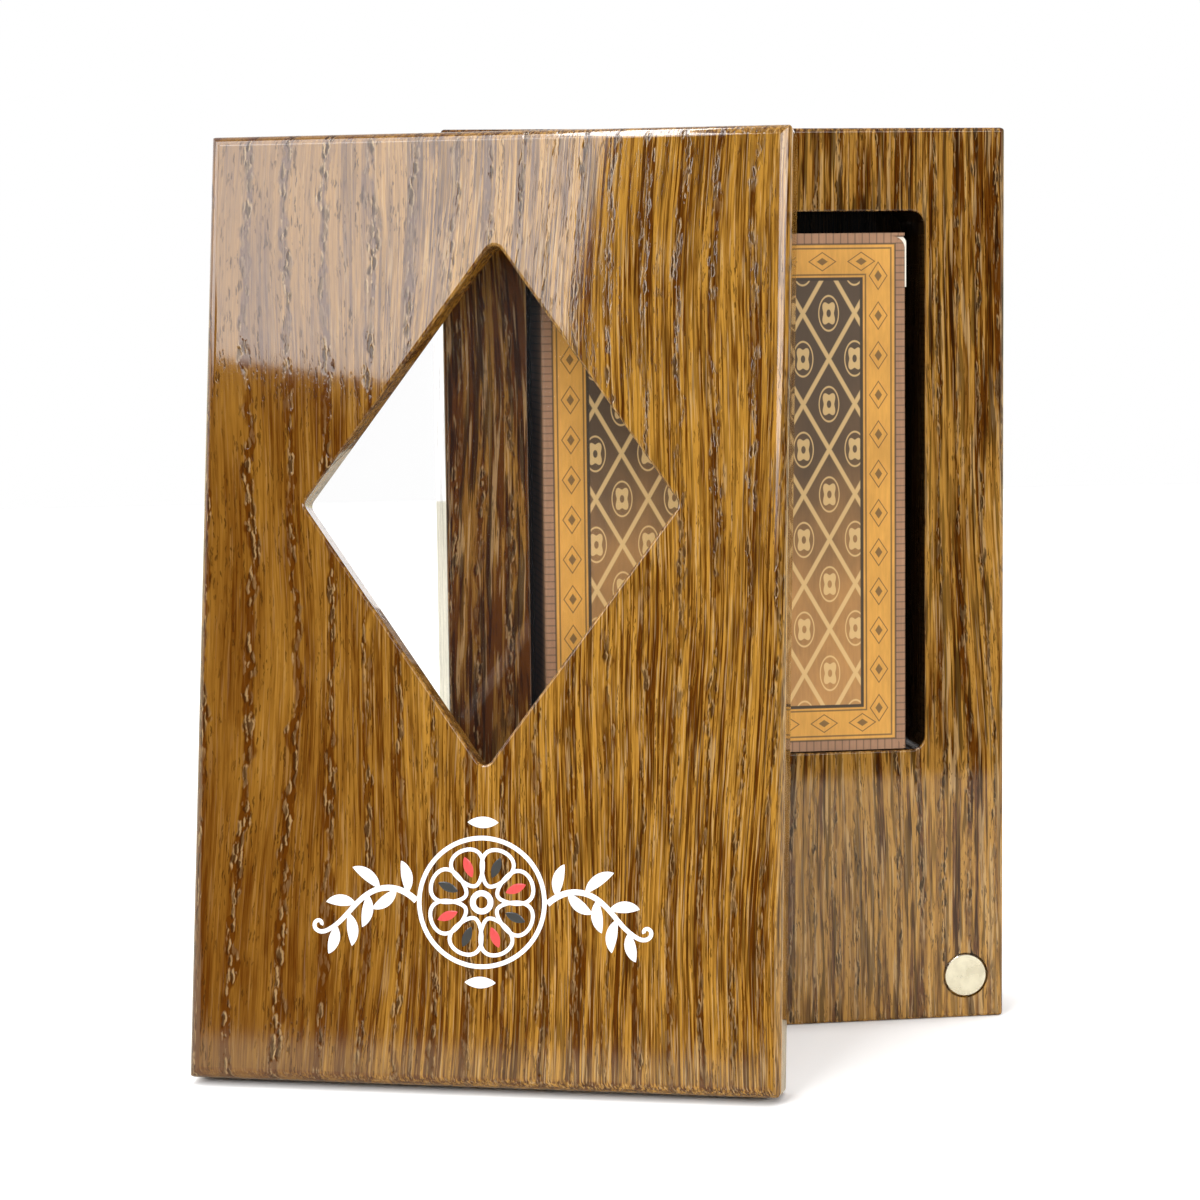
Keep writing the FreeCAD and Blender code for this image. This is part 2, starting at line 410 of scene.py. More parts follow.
CHAIN_MIDDLE = 0.25  # share of a ring at which its chain of pores lies
PORE_EDGE = (0.34, 0.56)  # soft edge of a large pore, in cells
SPECK_EDGE = (0.2, 0.42)  # the same of a small one
SPECK_WIDTH = 0.62  # of a large pore's
SPECK_LENGTH = 1.3
HIGHLIGHT_SHIFT = (-0.2, 0.0, -0.3)  # from a pore to its painted highlight, which lies on one side of it
LEFT_EDGE = -50.0  # a board's left edge, in millimetres
FOOT_SPAN = (5.0, 75.0)  # heights over which the change of tone at the foot runs out

# Levels of noise between which threads, streaks and pale marks begin.
THREAD_EDGE = (0.44, 0.58)
STREAK_EDGE = (0.52, 0.58)
PALE_EDGE = (0.56, 0.66)

# Shares of their own colour that the marks have.
LARGE_PORES = 0.9
SMALL_PORES = 0.8
# painted highlight beside the large pores
PAINTED_PORE_HIGHLIGHTS = 0.55
# painted shade on the pocket's walls
POCKET_SHADE = 0.9

# How far the painted shade in the pocket reaches past the card case, and its soft edge, in
# millimetres.
POCKET_BESIDE = 3.4
POCKET_BELOW = 0.6
POCKET_ABOVE = 5.0
POCKET_BEHIND = 0.5
POCKET_EDGE = 0.2
POCKET_START = (0.3, 0.9)  # depths over which the painted shade begins
# colour of the painted shade on the pocket's walls
POCKET_SHADE_COLOUR = (0.1, 0.064, 0.03)


def stained_wood(
    name,
    place,
    heart,
    shift,
    ring,
    thread,
    streaks,
    left_stain_and_shade,
    left_end,
    calm,
    foot_tone,
    stain,
    light,
    pore,
    pocket=None,
):
    """Ring-porous wood, stained dark and lacquered, with its grain up the board.

    depth = distance from the tree's heart + slow noise.  Threads, streaks and fibres are noise
    over (depth, height) and so run along the rings.  Large pores are short cells that crowd a
    meandering chain in each ring, and small ones lie everywhere.  Pores are dark and lie below
    the lacquer's level, and a painted highlight lies on one side of each large pore.

    Lengths are in millimetres, and stains and strengths are shares.  heart is the way from the
    tree's heart to the board's origin, shift moves the noises so that boards differ, ring is the
    distance between rings, thread is a thread's width and streaks is the dark streaks' strength.
    The left edge is darkened by a given amount that runs out at left_end, and the grain there is
    evened by calm; on the lid this is a stain, on the base it is painted shade of the lid, which
    stands in front of the base's left part.  The tone also changes by a given amount towards the
    foot, and stain lies all over.  light and pore are colours.  pocket is the half width, bottom,
    top and depth of a pocket whose walls get painted shade.
    """
    wood = settings().wood
    new, tree = material(name)
    own = own_points(tree, place)
    across, inward, height = axes(tree, own)
    points = mapped(tree, own, Location=shift)
    _, moved_in, moved_up = axes(tree, points)

    # rings
    slow = (mottle(tree, points, SLOW_BENDS, 1.0) - 0.5) * SLOW_REACH
    small_bend = (mottle(tree, points, SMALL_BENDS, 1.0) - 0.5) * SMALL_REACH
    from_heart = distance(tree, mapped(tree, own, Location=heart, Scale=(1, 1, 0)))
    depth = from_heart + slow + small_bend
    level = add(tree, "CombineXYZ", {0: depth, 1: moved_in, 2: moved_up}).outputs[0]
    meander = (mottle(tree, level, CHAIN_BENDS, 2.5, 0.6) - 0.5) * CHAIN_REACH
    phase = ((depth + meander) / ring).wrap()
    swell = mottle(tree, level, CHAIN_SWELLS).step(0.3, 0.7, 0.06, 0.16)
    chain = ((phase - CHAIN_MIDDLE).size() - swell).fall(-0.05, 0.03)

    # pores
    width = wood.pore_width / MM
    long = wood.pore_length / MM
    bent = wandering(tree, level, PORE_BENDS, PORE_REACH)
    present = mottle(tree, level, PORE_GAPS).step(0.36, 0.58, 0.2, 1.0)
    large = cells(tree, bent, (width, width, long)).fall(*PORE_EDGE) * chain * present
    # Painted highlight: the same cells, moved a little, so that it lies on one side of each pore.
    beside = mapped(tree, bent, Location=HIGHLIGHT_SHIFT)
    pale_grain_and_highlight = cells(tree, beside, (width, width, long)).fall(*PORE_EDGE) * chain * present
    speck_size = (width * SPECK_WIDTH, width * SPECK_WIDTH, long * SPECK_LENGTH)
    specks = cells(tree, bent, speck_size).fall(*SPECK_EDGE)
    small = specks * mottle(tree, level, SPECK_CROWDS).step(0.4, 0.6, 0.15, 0.9)

    # threads, streaks and fibres
    def drawn_out(share, upward, detail):
        """Noise of a share of a thread's width and of the given length."""
        return mottle(tree, level, (thread * share, thread * share, upward), detail)

    # Darker towards the left edge: a stain on the lid, painted shade of the lid on the base.
    left = across.step(LEFT_EDGE, left_end, left_stain_and_shade, 0.0)
    near_foot = height.step(*FOOT_SPAN, foot_tone, 0.0)
    even = left * calm
    fibre = mottle(tree, level, FIBRES) - 0.5
    broad = mottle(tree, level, BANDS)
    strong = broad.step(0.3, 0.65, 0.6, 1.0)
    broken = drawn_out(1.5, BREAK_LENGTH, 1.5).step(0.3, 0.55, 0.55, 1.0)
    lines = drawn_out(1.0, THREAD_LENGTH, 1.0).fall(*THREAD_EDGE) * broken * (even * -2.6 + 1.1)
    pale = drawn_out(0.7, PALE_LENGTH, 1.5).step(*PALE_EDGE) * (even * -1.2 + 0.5)
    streak = drawn_out(0.95, STREAK_LENGTH, 2.0).step(*STREAK_EDGE) * strong
    streak = streak * (even * -1.6 + streaks) * (near_foot * 1.2 + 1.0)

    # colour
    tone = lines * strong * 0.9 + fibre * (even * -3.4 + 1.8) + (broad - 0.5) * 0.9 + stain
    tone = tone + chain * 0.35 + left * 1.55 + near_foot
    tone = tone.apply("MULTIPLY", 1.0, clamp=True)
    ground = blend(tree, tone, linear(light), linear(wood.deep))
    # Painted highlights beside the large pores, and pale threads of the grain, in the pale colour.
    ground = blend(tree, (pale_grain_and_highlight * PAINTED_PORE_HIGHLIGHTS).most(pale), ground, linear(wood.pale_grain_and_highlight))
    dark = (large * LARGE_PORES).most(small * SMALL_PORES).most(streak)
    shade = blend(tree, dark, ground, linear(pore))
    # Painted shade on the walls of the deep pocket round the card case.
    if pocket:
        half, bottom, top, deep = pocket
        inside = inward.between(POCKET_START, (deep, deep + POCKET_EDGE))
        inside = inside * across.size().fall(half, half + POCKET_EDGE)
        inside = inside * height.between((bottom - POCKET_EDGE, bottom), (top, top + POCKET_EDGE))
        shade = blend(tree, inside * POCKET_SHADE, shade, linear(POCKET_SHADE_COLOUR))

    # relief of the wood, and the much smaller one of the lacquer's surface
    relief = fibre * 0.2 - lines * 0.15 - large - small * 0.4
    film = large * -0.3 - small * 0.06
    finish(
        tree,
        {
            "Base Color": shade,
            "Roughness": 0.5,
            "Specular IOR Level": 0.0,
            "Normal": bumped(tree, 0.8, wood.relief, relief),
            "Coat Weight": dark * -0.45 + 1.0,
            "Coat Roughness": wood.gloss,
            "Coat IOR": 1.5,
            "Coat Normal": bumped(tree, 0.2, wood.relief, film),
        },
    )
    return new


class CARDBOX_OT_boards(bpy.types.Operator):
    """Stains and lacquers the base and the lid"""

    bl_idname = "cardbox.boards"
    bl_label = "Finish the boards"

    def execute(self, context):
        # Reach of the painted shade in the pocket, from the card case.
        low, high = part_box("card_case_sleeve")
        depth = (high.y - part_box("base_block")[0].y) / MM + POCKET_BEHIND
        half_width = (high.x - low.x) / 2 / MM + POCKET_BESIDE
        pocket = (half_width, low.z / MM - POCKET_BELOW, high.z / MM + POCKET_ABOVE, depth)
        wood = settings().wood
        base = stained_wood(
            "base_wood",
            BASE_PLACE,
            heart=(160.0, -70.0, 0.0),
            shift=(310.0, 40.0, 90.0),
            ring=wood.ring / MM * 0.75,
            thread=0.66,
            streaks=0.84,
            # Darker left part of the base: painted shade of the lid, which stands in front of it.
            left_stain_and_shade=0.3,
            left_end=-22.0,
            calm=0.0,
            foot_tone=-0.17,
            stain=0.17,
            light=tuple(np.array(wood.light) * (0.99, 1.0, 1.12)),
            pore=tuple(np.array(wood.pore) * (0.6, 0.47, 0.2)),
            pocket=pocket,
        )
        give("base_block", base)
        lid = stained_wood(
            "lid_wood",
            LID_PLACE,
            heart=(95.0, -62.0, 0.0),
            shift=(0.0, 0.0, 0.0),
            ring=wood.ring / MM,
            thread=0.44,
            streaks=0.6,
            left_stain_and_shade=0.4,
            left_end=25.0,
            calm=0.9,
            foot_tone=0.13,
            stain=0.07,
            light=wood.light,
            pore=wood.pore,
        )
        give("lid_board", lid)
        return {"FINISHED"}


# ---- magnets and pane ----------------------------------------------------------------------

NICKEL = (0.83, 0.81, 0.765)
TARNISH = (0.77, 0.745, 0.69)
TURNING_MARKS = 14.0  # radians of the marks' wave per millimetre of radius
TARNISH_CLOUDS = (2.2, 2.2, 2.2)
PANE_SMEARS = (7.0, 7.0, 16.0)


class CARDBOX_OT_magnets(bpy.types.Operator):
    """Plates the four disc magnets, with fine turning marks and a little tarnish"""

    bl_idname = "cardbox.magnets"
    bl_label = "Finish the magnets"

    def execute(self, context):
        places = {"base": BASE_PLACE, "lid": LID_PLACE}
        for board, (turn, _) in places.items():
            for end in ("upper", "lower"):
                node = f"{board}_magnet_{end}"
                back = corners_of(node) @ np.array(turn)
                centre = turn @ Vector((back.min(axis=0) + back.max(axis=0)) / 2)
                give(node, self.plating(node + "_plating", (turn, centre)))
        return {"FINISHED"}

    def plating(self, name, place):
        """Nickel: rings of turning marks round the disc's axis, and clouds of tarnish."""
        new, tree = material(name)
        points = own_points(tree, place)
        radius = distance(tree, mapped(tree, points, Scale=(1, 0, 1)))
        marks = (radius * TURNING_MARKS).apply("SINE")
        cloud = mottle(tree, points, TARNISH_CLOUDS, 4.0)
        finish(
            tree,
            {
                "Base Color": blend(tree, cloud.step(0.3, 0.75), linear(NICKEL), linear(TARNISH)),
                "Metallic": 1.0,
                "Roughness": cloud.step(0.2, 0.8, 0.16, 0.34),
                "Normal": bumped(tree, 0.12, 0.02 * MM, marks + cloud),
            },
        )
        return new


class CARDBOX_OT_pane(bpy.types.Operator):
    """Makes the lid's pane of clear plastic sheet"""

    bl_idname = "cardbox.pane"
    bl_label = "Finish the pane"

    def execute(self, context):
        new, tree = material("pane_clear")
        smear = mottle(tree, own_points(tree, LID_PLACE), PANE_SMEARS, 3.0)
        finish(
            tree,
            {
                "Base Color": (0.25, 0.25, 0.28, 1.0),
                "Roughness": smear.step(0.35, 0.75, 0.03, 0.12),
                "Alpha": 0.012,
                "Normal": bumped(tree, 0.05, 0.05 * MM, smear),
            },
        )
        give("lid_window_pane", new)
        return {"FINISHED"}


# ---- printed case and cards ----------------------------------------------------------------

# Lengths of the case's print and of the cards' edges, in millimetres.
LOZENGE_PITCH = 7.0
LOZENGE_REACH = 2.4
FLUTE_PITCH = 1.3
PAPER_GRAIN = (0.5, 0.5, 3.5)
WORN_CLOUDS = (9.0, 9.0, 14.0)
SHADE_DRIFT = 26.0
WORN_SPAN = (0.4, 0.45)
WORN_TOP = 0.75
CARD_PITCH = 0.28
CARD_FIBRES = (0.12, 0.12, 0.5)


# Half widths and soft edges of the printed lines, in millimetres.
FINE_LINE = (0.16, 0.08)
INNER_LINE = (0.28, 0.08)
LOZENGE_EDGES = (0.14, 0.07)
LOZENGE_INSET = 0.75
SOFT_EDGE = 0.05

# The rosette, in shares of the lattice's pitch.
PETAL_EDGE = (0.17, 0.19)
PETAL_SWING = 0.035
EYE_EDGE = (0.05, 0.07)
RING_LINE = (0.27, 0.014, 0.01)
LATTICE_EDGE = (0.03, 0.06)
LATTICE_SLANT = (0.86, 0.5)  # across and up, of the way square to the lattice's lines

CARD_GAP_SHADE = (0.78, 0.76, 0.71)
CARD_STOCK = (0.96, 0.95, 0.92)


def printed_board(name, raw_side):
    """Varnished paperboard with a framed lattice on every upright face.

    Across and up are measured from the face's middle, and inset is the distance to the nearest
    edge.  By inset come a fluted border, a frame with a row of lozenges, a beaded line and the
    field, whose two families of slanted lines cross in a lattice with a rosette in every opening.
    raw_side is the span of depth over which the print is worn off at the top, or None.
    """
    ink = settings().printed
    low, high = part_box("card_case_sleeve")
    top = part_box("card_case_flap")[1]
    half_width = (high.x - low.x) / 2 / MM
    half_height = (top.z - low.z) / 2 / MM
    centre = Vector(((low.x + high.x) / 2, low.y, (low.z + top.z) / 2))
    new, tree = material(name)
    points = own_points(tree, (Matrix.Identity(3), centre))
    across, depth, up = axes(tree, points)
    from_side = (across.size() * -1.0) + half_width
    from_end = (up.size() * -1.0) + half_height
    inset = from_side.least(from_end)
    on_side = from_side.apply("LESS_THAN", from_end)
    along = across + (up - across) * on_side
    border = ink.border_width / MM
    broad = ink.frame_width / MM
    inner = border + broad
    pitch = ink.lattice / MM
    grain = mottle(tree, points, PAPER_GRAIN, 4.0, 0.6)
    cloud = mottle(tree, points, WORN_CLOUDS, 3.0)

    # row of lozenges between two lines, and the border's flutes
    middle = inset - (border + broad / 2)
    bar = ((along / LOZENGE_PITCH).wrap() - 0.5).size() * LOZENGE_PITCH
    lozenge = bar + middle.size() * 1.5
    row = lozenge.line(LOZENGE_REACH, *FINE_LINE).most(lozenge.fall(0.9, 1.1))
    edges = middle.size().line(broad / 2 - LOZENGE_INSET, *LOZENGE_EDGES)
    flutes = ((along / FLUTE_PITCH).wrap() - 0.5).size().step(0.34, 0.5)

    # lattice, and a rosette of four petals in each of its openings
    slant_across, slant_up = LATTICE_SLANT
    first = (across * slant_across + up * slant_up) / pitch
    second = (across * slant_across - up * slant_up) / pitch
    one = (first.wrap() - 0.5).size()
    other = (second.wrap() - 0.5).size()
    cross = one.least(other).fall(*LATTICE_EDGE)
    round_first = (first + 0.5).wrap() - 0.5
    round_second = (second + 0.5).wrap() - 0.5
    reach = (round_first * round_first + round_second * round_second).apply("SQRT")
    petals = (round_second.apply("ARCTAN2", round_first) * 4.0).apply("COSINE")
    rosette = (reach - petals * PETAL_SWING).fall(*PETAL_EDGE) - reach.fall(*EYE_EDGE)
    rosette = rosette.most(reach.line(*RING_LINE))
    figure = cross.most(rosette)

    # colours, from the field outwards
    worn = (grain - 0.5) * 0.5 + (cloud - 0.5) * 0.7 + 0.5
    outline = linear(darker(ink.shaded, 0.75))
    rise = (up + (cloud - 0.5) * SHADE_DRIFT).step(-half_height * 0.75, half_height * 0.45)
    ground = blend(tree, rise, linear(ink.field), linear(ink.shaded))
    field = blend(tree, worn * 0.7, ground, outline)
    field = blend(tree, figure * 0.8, field, linear(ink.accent))
    frame_colour = blend(tree, worn, linear(ink.frame), linear(darker(ink.frame, 0.66)))
    frame_colour = blend(tree, row.most(edges) * 0.75, frame_colour, outline)
    border_colour = blend(tree, worn, linear(ink.border), linear(darker(ink.border, 0.62)))
    border_colour = blend(tree, flutes * 0.6, border_colour, outline)
    in_field = inset.step(inner - SOFT_EDGE, inner + SOFT_EDGE)
    in_border = inset.fall(border - SOFT_EDGE, border + SOFT_EDGE)
    picture = blend(tree, in_field, frame_colour, field)
    picture = blend(tree, inset.line(inner, *INNER_LINE), picture, outline)
    picture = blend(tree, in_border, picture, border_colour)
    picture = blend(tree, inset.line(border, *FINE_LINE) * 0.8, picture, outline)
    if raw_side:
        raw = depth.step(*raw_side) * up.fall(half_height - WORN_TOP, half_height - WORN_TOP + 0.1)
        picture = blend(tree, raw, picture, linear(ink.board))
    finish(
        tree,
        {
            "Base Color": picture,
            "Roughness": 0.42,
            "Specular IOR Level": 0.35,
            "Coat Weight": 0.25,
            "Coat Roughness": 0.2,
            "Normal": bumped(tree, 0.15, 0.05 * MM, grain),
        },
    )
    return new


class CARDBOX_OT_card_case(bpy.types.Operator):
    """Prints and varnishes the paperboard case"""

    bl_idname = "cardbox.card_case"
    bl_label = "Finish the card case"

    def execute(self, context):
        give("card_case_sleeve", printed_board("case_print", None))
        give("card_case_flap", printed_board("flap_print", WORN_SPAN))
        return {"FINISHED"}


class CARDBOX_OT_cards(bpy.types.Operator):
    """Gives the stack of cards its pale stock, with a fine line of painted shade between neighbours
    """

    bl_idname = "cardbox.cards"
    bl_label = "Finish the cards"

    def execute(self, context):
        new, tree = material("card_stock")
        points = own_points(tree, BASE_PLACE)
        _, depth, _ = axes(tree, points)
        layers = (depth / CARD_PITCH).wrap().line(0.5, 0.34, 0.12)
        fibres = mottle(tree, points, CARD_FIBRES, 3.0)
        # Painted shade in the fine gaps between the cards.
        shade = blend(tree, layers * 0.8 + fibres * 0.2, linear(CARD_GAP_SHADE), linear(CARD_STOCK))
        normal = bumped(tree, 0.2, 0.02 * MM, fibres)
        finish(tree, {"Base Color": shade, "Roughness": 0.5, "Normal": normal})
        give("card_deck", new)
        return {"FINISHED"}


# ---- ornament on the lid -------------------------------------------------------------------

# Lengths in millimetres.
LEAF_WIDTH = 1.9
LEAF_TIP = 0.06
END_LEAF = 2.6
HUB_RADIUS = 1.5
PETAL_START = 2.9
PETAL_MARGIN = 1.5
DROP_START = 4.4
DROP_MARGIN = 7.0
DROP_WIDTH = 1.5
BRANCH_GAP = 0.5

CURL_START = 0.72  # share of a branch after which it curls

# A branch's leaves: share of its length, angle off it in radians, length in millimetres.
BRANCH_LEAVES = (
    (0.08, 0.9, 5.6),
    (0.16, -0.9, 5.4),
    (0.28, 0.95, 6.0),
    (0.36, -0.85, 5.6),
    (0.47, 0.9, 5.2),
    (0.55, -0.9, 5.6),
    (0.66, -0.7, 5.0),
)

INK_SPECKS = (0.35, 0.35, 1.4)


def ribbon(path, widths, proud, closed):
    """Raised stroke along a flat path in the lid's face: (vertices, faces) in the lid's own frame.

    vertex(s, k) = path(s) + normal(s) * widths(s) / 2 * across(k), raised by proud * rise(k).  The
    profile's across and rise run over the top of the stroke and back under the wood's surface.
    """
    across = np.array([-1.0, -1.0, -0.7, 0.0, 0.7, 1.0, 1.0])
    rise = np.array([-0.4, 0.55, 0.95, 1.0, 0.95, 0.55, -0.4])
    if closed:
        ahead = np.roll(path, -1, axis=0) - np.roll(path, 1, axis=0)
    else:
        ahead = np.gradient(path, axis=0)
    ahead /= np.linalg.norm(ahead, axis=1)[:, None]
    normal = np.stack([ahead[:, 1], -ahead[:, 0]], axis=1)
    sideways = widths[:, None] / 2 * across[None, :]
    flat = path[:, None, :] + normal[:, None, :] * sideways[:, :, None]
    out = np.broadcast_to(-proud * rise, flat.shape[:2])
    vertices = np.stack([flat[:, :, 0], out, flat[:, :, 1]], axis=2).reshape(-1, 3)
    rows, turns = len(path), len(across)
    row = np.arange(rows if closed else rows - 1)[:, None]
    turn = np.arange(turns)[None, :]
    after = (row + 1) % rows
    beside = (turn + 1) % turns
    loop = [row * turns + turn, row * turns + beside, after * turns + beside, after * turns + turn]
    faces = [tuple(face) for face in np.stack(loop, axis=2).reshape(-1, 4).tolist()]
    if not closed:
        faces.append(tuple(range(turns))[::-1])
        faces.append(tuple(range((rows - 1) * turns, rows * turns)))
    return vertices, faces


def leaf(root, angle, long, wide, bend=0.0, count=15):
    """Solid pointed leaf: its width is wide * sin(pi * s) ** 0.75, and its rib turns by bend."""
    s = np.linspace(0.0, 1.0, count)
    heading = angle + bend * (s - 0.5)
    steps = np.stack([np.cos(heading), np.sin(heading)], axis=1) * (long / (count - 1))
    path = np.array(root) + np.cumsum(steps, axis=0) - steps[0]
    widths = np.maximum(wide * np.sin(np.pi * s) ** 0.75, LEAF_TIP)
    return path, widths


def petal_outline(angle, near, far, wide, count=44):
    """Closed outline of one petal: near and far ends on a radius, widest beyond its middle."""
    turn = np.linspace(0.0, 2 * np.pi, count, endpoint=False)
    along = (near + far) / 2 - (far - near) / 2 * np.cos(turn)
    side = wide / 2 * np.sin(turn) * (1.0 - 0.35 * np.cos(turn))
    x = along * math.cos(angle) - side * math.sin(angle)
    z = along * math.sin(angle) + side * math.cos(angle)
    return np.stack([x, z], axis=1)


def branch_path(start, end, count=90):
    """Waving stem that ends in a curl.

    Its heading swings as a cosine.  From the curl's start it also turns faster and faster, by the
    power of 1.5, and its steps get shorter.
    """
    s = np.linspace(0.0, 1.0, count)
    curl = np.clip(s - CURL_START, 0.0, 1.0) ** 1.5
    heading = 0.85 * np.cos(2 * np.pi * s * 0.8 + 0.5) + 9.0 * curl * 3.4
    steps = np.stack([np.cos(heading), np.sin(heading)], axis=1)
    steps *= np.where(s > CURL_START, 1.0 - 2.0 * (s - CURL_START), 1.0)[:, None]
    path = np.cumsum(steps, axis=0)
    path -= path[0]
    path *= (end - start) / path[:, 0].max()
    return path + np.array([start, 0.0])


def as_piece(name, strokes, ink, centre):
    """One mesh of all strokes, each (path, widths, closed), laid on the lid's face."""
    proud = settings().ornament.proud / MM
    vertices = []
    faces = []
    for path, widths, closed in strokes:
        points, loops = ribbon(path, widths, proud, closed)
        faces += [tuple(corner + len(vertices) for corner in loop) for loop in loops]
        vertices += points.tolist()
    turn, start = LID_PLACE
    placed = (np.array(vertices) + np.array([0.0, 0.0, centre])) * MM
    placed = placed @ np.array(turn).T + np.array(start)
    mesh = bpy.data.meshes.new(name)
    mesh.from_pydata(placed.tolist(), [], faces)
    mesh.update()
    mesh.materials.append(ink)
    piece = bpy.data.objects.new(name, mesh)
    bpy.context.scene.collection.objects.link(piece)
    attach(piece, "lid")


def enamel(name, shade):
    """Screen-printed ink under a little lacquer, thinner in places."""
    new, tree = material(name)
    speck = mottle(tree, own_points(tree, LID_PLACE), INK_SPECKS, 4.0, 0.65)
    thin = linear(darker(shade, 0.86))
    finish(
        tree,
        {
            "Base Color": blend(tree, speck.step(0.35, 0.8), linear(shade), thin),
            "Roughness": 0.4,
            "Normal": bumped(tree, 0.25, 0.03 * MM, speck),
            "Coat Weight": 0.6,
            "Coat Roughness": 0.12,
        },
    )
    return new


class CARDBOX_OT_ornament(bpy.types.Operator):
    """Prints a rosette between two leafy branches below the window"""

    bl_idname = "cardbox.ornament"
    bl_label = "Print the ornament"

    def execute(self, context):
        ornament = settings().ornament
        centre = ornament.centre_height / MM
        outlines, drops = self.rosette(ornament)
        white = outlines + self.branches(ornament)
        ink = enamel("ink_white", ornament.ink)
        warm = enamel("ink_warm", ornament.warm)
        dark = enamel("ink_dark", ornament.dark)
        as_piece("lid_ornament", white, ink, centre)
        as_piece("lid_ornament_warm", drops[0], warm, centre)
        as_piece("lid_ornament_dark", drops[1], dark, centre)
        return {"FINISHED"}

    def rosette(self, ornament):
        """Strokes of the ring, the hub and the petals, and of the drops for each accent."""
        stroke = ornament.stroke / MM
        ring = ornament.ring_radius / MM
        count = ornament.petals
        outlines = []
        turn = np.linspace(0.0, 2 * np.pi, 96, endpoint=False)
        circle = np.stack([np.cos(turn), np.sin(turn)], axis=1)
        for radius, share in ((ring, 1.0), (HUB_RADIUS, 1.3)):
            outlines.append((circle * radius, np.full(len(circle), stroke * share), True))
        drops = ([], [])
        for index in range(count):
            angle = 2 * np.pi * index / count + np.pi / count
            wide = 0.62 * ring * 2 * np.pi / count
            petal = petal_outline(angle, PETAL_START, ring - PETAL_MARGIN, wide)
            outlines.append((petal, np.full(len(petal), stroke * 0.85), True))
            root = (DROP_START * math.cos(angle), DROP_START * math.sin(angle))
            drop = leaf(root, angle, ring - DROP_MARGIN, DROP_WIDTH)
            drops[index % 2].append((*drop, False))
        return outlines, drops

    def branches(self, ornament):
        """Strokes of the two branches, and of one leaf above the ring and one below it."""
        stroke = ornament.stroke / MM
        ring = ornament.ring_radius / MM
        stem = branch_path(ring + BRANCH_GAP, ornament.half_width / MM)
        strokes = []
        for side in (1, -1):
            mirror = np.array([side, 1.0])
            taper = np.linspace(stroke * 1.4, stroke * 0.8, len(stem))
            strokes.append((stem * mirror, taper, False))
            for share, tilt, long in BRANCH_LEAVES:
                at = int(share * (len(stem) - 1))
                ahead = stem[at + 1] - stem[at]
                angle = math.atan2(ahead[1], ahead[0]) + tilt
                path, widths = leaf(stem[at], angle, long, LEAF_WIDTH, bend=-0.8 * tilt)
                strokes.append((path * mirror, widths, False))
        for height in (ring + END_LEAF, -ring - END_LEAF):
            strokes.append((*leaf((-END_LEAF, height), 0.0, 2 * END_LEAF, LEAF_WIDTH), False))
        return strokes


# ---- stage ---------------------------------------------------------------------------------

BLACK = (0.0, 0.0, 0.0, 1.0)
WHITE = (1.0, 1.0, 1.0, 1.0)
HORIZON_TINT = (1.0, 0.98, 0.72, 1.0)

# The floor: its reach to each side, its fading front end and its back end, in metres.
FLOOR_SIDE = 0.9
FLOOR_FADE = (-0.285, -0.26)
FLOOR_BACK = 1.4
FLOOR_POINTS = 13
FLOOR_MIRRORED = (0.93, 0.915, 0.84)
FLOOR_GLOW = 0.4
CONTACT_SHADE = 0.012  # how far from a piece the floor's glow is held back, in metres

# Brightness of the parts of the surroundings, where 1 is white.
BACK_LEVEL = 1.05
BACK_MIRRORED = 0.85  # added to the low part of the back in mirrors
HORIZON_LEVEL = 1.95
PANEL_LEVEL = 7.5
ABOVE_LEVEL = 0.6
ROOM_LEVEL = 0.05

# Where the lit parts begin and end, in parts of a direction of length 1.
BACK_START = (-0.15, 0.35)
BACK_MIRRORED_TOP = (0.25, 0.35)
ABOVE_START = (0.4, 0.9)
HORIZON_HEIGHT = ((-0.12, -0.1), (0.054, 0.06))
HORIZON_LEFT = (-0.38, -0.28)
HORIZON_RIGHT = (0.4, 0.52)
BAND_HEIGHT = ((0.225, 0.26), (0.38, 0.44))
UPPER_PANEL_HEIGHT = (0.58, 0.62)
SIDE_PANEL_HEIGHT = (0.18, 0.2)

# Level directions, as x and y, along which some of their ends are measured.
BAND_START = (0.914, -0.407)
BAND_END = (0.225, 0.974)
LID_ACROSS = (0.95, -0.31)

# Lamps and camera: places and distances in metres, angles in degrees, the lens in millimetres.
LAMP_AIM = Vector((-0.04, -0.03, 0.08))
LAMP_DISTANCE = 2.6
CAMERA_PLACE = Vector((-0.092652, -0.510586, 0.130033))
CAMERA_ANGLES = (-7.915, 5.887, -0.693)  # azimuth, elevation and roll
CAMERA_LENS = 86.465
SENSOR_WIDTH = 36.0


def towards(azimuth, elevation):
    """Direction at an azimuth from -Y towards +X and an elevation, in degrees."""
    turn = math.radians(azimuth)
    rise = math.radians(elevation)
    level = math.cos(rise)
    return Vector((math.sin(turn) * level, -math.cos(turn) * level, math.sin(rise)))


def panel_light(name, radiance, azimuth, elevation, width, height, tint=WHITE[:3], side=None):
    """Flat lamp of the given radiance, facing the box; width and height are angles in degrees.

    side is the way along which the width lies; without it the width is level.
    """
    lamp = bpy.data.lights.new(name, "AREA")
    lamp.shape = "RECTANGLE"
    lamp.size = 2 * LAMP_DISTANCE * math.tan(math.radians(width / 2))
    lamp.size_y = 2 * LAMP_DISTANCE * math.tan(math.radians(height / 2))
    lamp.energy = radiance * math.pi * lamp.size * lamp.size_y
    lamp.color = tint
    holder = bpy.data.objects.new(name, lamp)
    away = towards(azimuth, elevation)
    holder.location = LAMP_AIM + away * LAMP_DISTANCE
    holder.rotation_euler = away.to_track_quat("Z", "Y").to_euler()
    if side:
        upward = away.cross(side).normalized()
        turned = Matrix((upward.cross(away), upward, away)).transposed()
        holder.rotation_euler = turned.to_euler()
    bpy.context.scene.collection.objects.link(holder)


